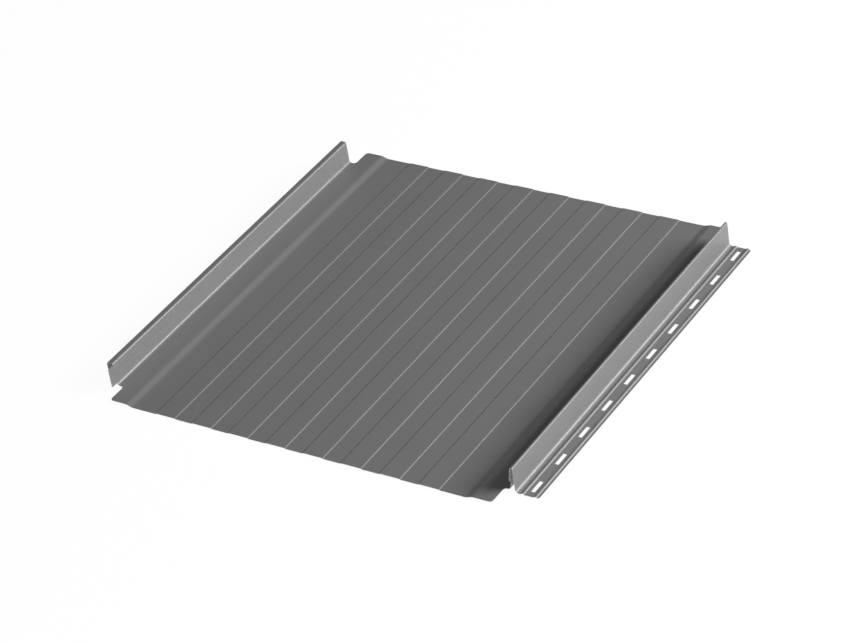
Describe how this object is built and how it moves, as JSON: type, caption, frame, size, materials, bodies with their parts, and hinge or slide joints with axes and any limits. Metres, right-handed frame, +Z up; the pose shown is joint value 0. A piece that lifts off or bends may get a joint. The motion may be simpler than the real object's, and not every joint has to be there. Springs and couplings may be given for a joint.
{
  "type": "standing seam roof panel",
  "caption": "Flat sheet metal roof pan with shallow stiffening ribs, a hollow overlap seam on one side and a snap-lock seam with a slotted screw flange on the other.",
  "frame": {"origin": "middle of the panel's bounding box in plan, on the underside of the pan's low level", "axes": "+Z up, away from the roof deck; Y along the seams; +X across the panel, from the overlap seam to the screw flange"},
  "size_m": [0.553, 0.536, 0.0323],
  "materials": {
    "coated_steel": "satin grey coil coating on zinc-coated steel"
  },
  "bodies": {
    "root": {"roof_panel": "coated_steel"}
  },
  "joints": []
}
